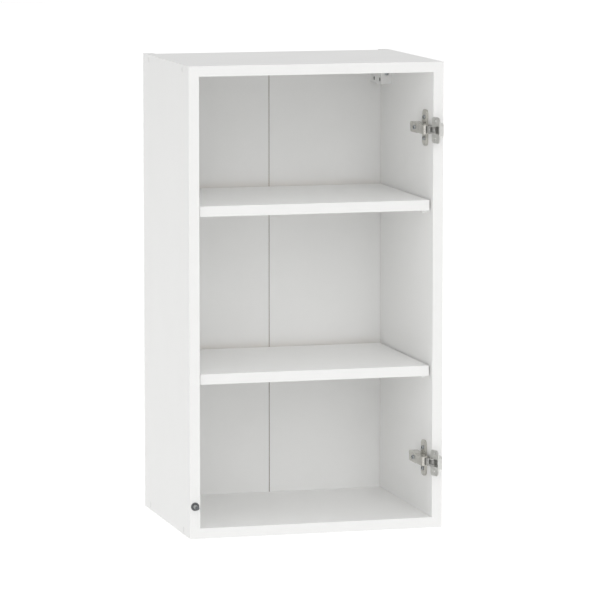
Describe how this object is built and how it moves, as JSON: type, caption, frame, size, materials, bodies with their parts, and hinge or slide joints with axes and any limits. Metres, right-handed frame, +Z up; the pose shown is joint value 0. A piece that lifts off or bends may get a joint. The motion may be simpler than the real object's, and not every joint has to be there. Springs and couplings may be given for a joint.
{
  "type": "hanging wall cabinet",
  "caption": "Tall open-fronted wall cabinet with loose shelves on pins, concealed hinges for a right-hand door, rear hangers and a sprung push latch.",
  "frame": {"origin": "on the wall plane through the rear edges of the sides, at the middle of the width, level with the underside", "axes": "+X to the right of a person facing the cabinet, +Y towards the wall, +Z up"},
  "size_m": [0.4, 0.3283, 0.72],
  "materials": {
    "melamine_board": "white melamine faced particle board, satin",
    "edging": "white satin edging",
    "hardboard_back": "white lacquered hardboard",
    "joint_tape": "matt film",
    "white_plastic": "moulded, fine matt texture",
    "grey_plastic": "moulded, satin",
    "nickel_steel": "pressed steel, nickel plated",
    "zinc_steel": "zinc plated steel"
  },
  "bodies": {
    "carcass": {"side_panel_right": "melamine_board", "side_panel_left": "melamine_board", "bottom_panel": "melamine_board", "top_panel": "melamine_board", "back_panel_left": "hardboard_back", "back_panel_right": "hardboard_back", "back_joint_tape": "joint_tape", "corner_screw_bottom_left_front": "zinc_steel", "screw_cap_bottom_left_front": "white_plastic", "corner_screw_bottom_left_rear": "zinc_steel", "screw_cap_bottom_left_rear": "white_plastic", "corner_screw_bottom_right_front": "zinc_steel", "screw_cap_bottom_right_front": "white_plastic", "corner_screw_bottom_right_rear": "zinc_steel", "screw_cap_bottom_right_rear": "white_plastic", "corner_screw_top_left_front": "zinc_steel", "screw_cap_top_left_front": "white_plastic", "corner_screw_top_left_rear": "zinc_steel", "screw_cap_top_left_rear": "white_plastic", "corner_screw_top_right_front": "zinc_steel", "screw_cap_top_right_front": "white_plastic", "corner_screw_top_right_rear": "zinc_steel", "screw_cap_top_right_rear": "white_plastic", "shelf_pin_lower_left_front": "white_plastic", "shelf_pin_lower_left_rear": "white_plastic", "shelf_pin_lower_right_front": "white_plastic", "shelf_pin_lower_right_rear": "white_plastic", "shelf_pin_upper_left_front": "white_plastic", "shelf_pin_upper_left_rear": "white_plastic", "shelf_pin_upper_right_front": "white_plastic", "shelf_pin_upper_right_rear": "white_plastic", "hinge_lower_plate": "nickel_steel", "hinge_lower_plate_screw_low": "zinc_steel", "hinge_lower_plate_screw_high": "zinc_steel", "hinge_lower_arm": "nickel_steel", "hinge_lower_clamp_screw": "zinc_steel", "hinge_upper_plate": "nickel_steel", "hinge_upper_plate_screw_low": "zinc_steel", "hinge_upper_plate_screw_high": "zinc_steel", "hinge_upper_arm": "nickel_steel", "hinge_upper_clamp_screw": "zinc_steel", "hanger_left_cover": "white_plastic", "hanger_right_cover": "white_plastic", "latch_sleeve": "grey_plastic", "latch_spring": "zinc_steel"},
    "shelf_lower": {"shelf_lower": "melamine_board", "shelf_edging_lower": "edging"},
    "shelf_upper": {"shelf_upper": "melamine_board", "shelf_edging_upper": "edging"},
    "hinge_lower_front_link": {"hinge_lower_front_link": "nickel_steel"},
    "hinge_lower_rear_link": {"hinge_lower_rear_link": "nickel_steel"},
    "hinge_lower_door_boss": {"hinge_lower_door_boss": "nickel_steel"},
    "hinge_upper_front_link": {"hinge_upper_front_link": "nickel_steel"},
    "hinge_upper_rear_link": {"hinge_upper_rear_link": "nickel_steel"},
    "hinge_upper_door_boss": {"hinge_upper_door_boss": "nickel_steel"},
    "hanger_left_hook": {"hanger_left_hook": "zinc_steel"},
    "hanger_left_depth_screw": {"hanger_left_depth_screw": "zinc_steel"},
    "hanger_right_hook": {"hanger_right_hook": "zinc_steel"},
    "hanger_right_depth_screw": {"hanger_right_depth_screw": "zinc_steel"},
    "latch_plunger": {"latch_plunger": "grey_plastic"}
  },
  "joints": [
    {"name": "hinge_lower_boss_turn", "type": "hinge", "parent": "hinge_lower_front_link", "child": "hinge_lower_door_boss", "pos_m": [0.18423, -0.31311, 0.1035], "axis": [0, 0, 1], "range_deg": [-136.1, 0]},
    {"name": "hinge_lower_front_link_turn", "type": "hinge", "parent": "carcass", "child": "hinge_lower_front_link", "pos_m": [0.1756, -0.2981, 0.1035], "axis": [0, 0, 1], "range_deg": [0, 31.2]},
    {"name": "hinge_lower_rear_link_turn", "type": "hinge", "parent": "carcass", "child": "hinge_lower_rear_link", "pos_m": [0.1746, -0.29, 0.1035], "axis": [0, 0, 1], "range_deg": [0, 9.3]},
    {"name": "hinge_upper_boss_turn", "type": "hinge", "parent": "hinge_upper_front_link", "child": "hinge_upper_door_boss", "pos_m": [0.18423, -0.31311, 0.6165], "axis": [0, 0, 1], "range_deg": [-136.1, 0]},
    {"name": "hinge_upper_front_link_turn", "type": "hinge", "parent": "carcass", "child": "hinge_upper_front_link", "pos_m": [0.1756, -0.2981, 0.6165], "axis": [0, 0, 1], "range_deg": [0, 31.2]},
    {"name": "hinge_upper_rear_link_turn", "type": "hinge", "parent": "carcass", "child": "hinge_upper_rear_link", "pos_m": [0.1746, -0.29, 0.6165], "axis": [0, 0, 1], "range_deg": [0, 9.3]},
    {"name": "hanger_left_hook_slide", "type": "slide", "parent": "carcass", "child": "hanger_left_hook", "axis": [0, -1, 0], "range_m": [-0.002, 0.006]},
    {"name": "hanger_left_depth_screw_turn", "type": "hinge", "parent": "carcass", "child": "hanger_left_depth_screw", "pos_m": [-0.1765, -0.06, 0.687], "axis": [0, -1, 0], "range_deg": [-721, 2161]},
    {"name": "hanger_right_hook_slide", "type": "slide", "parent": "carcass", "child": "hanger_right_hook", "axis": [0, -1, 0], "range_m": [-0.002, 0.006]},
    {"name": "hanger_right_depth_screw_turn", "type": "hinge", "parent": "carcass", "child": "hanger_right_depth_screw", "pos_m": [0.1765, -0.06, 0.687], "axis": [0, -1, 0], "range_deg": [-721, 2161]},
    {"name": "latch_plunger_press", "type": "slide", "parent": "carcass", "child": "latch_plunger", "axis": [0, 1, 0], "range_m": [0, 0.0145], "stiffness_N_per_m": 250, "deforming": ["latch_spring"]},
    {"name": "shelf_lower_pull", "type": "slide", "parent": "carcass", "child": "shelf_lower", "axis": [0, -1, 0], "range_m": [0, 0.1]},
    {"name": "shelf_upper_pull", "type": "slide", "parent": "carcass", "child": "shelf_upper", "axis": [0, -1, 0], "range_m": [0, 0.1]}
  ],
  "couplings": [
    {"joint": "hinge_lower_front_link_turn", "follows": "hinge_lower_boss_turn", "ratio": -0.2285},
    {"joint": "hinge_lower_rear_link_turn", "follows": "hinge_lower_boss_turn", "ratio": -0.0676},
    {"joint": "hinge_upper_front_link_turn", "follows": "hinge_upper_boss_turn", "ratio": -0.2285},
    {"joint": "hinge_upper_rear_link_turn", "follows": "hinge_upper_boss_turn", "ratio": -0.0676},
    {"joint": "hanger_left_depth_screw_turn", "follows": "hanger_left_hook_slide", "rad_per_m": 6283.2},
    {"joint": "hanger_right_depth_screw_turn", "follows": "hanger_right_hook_slide", "rad_per_m": 6283.2}
  ]
}
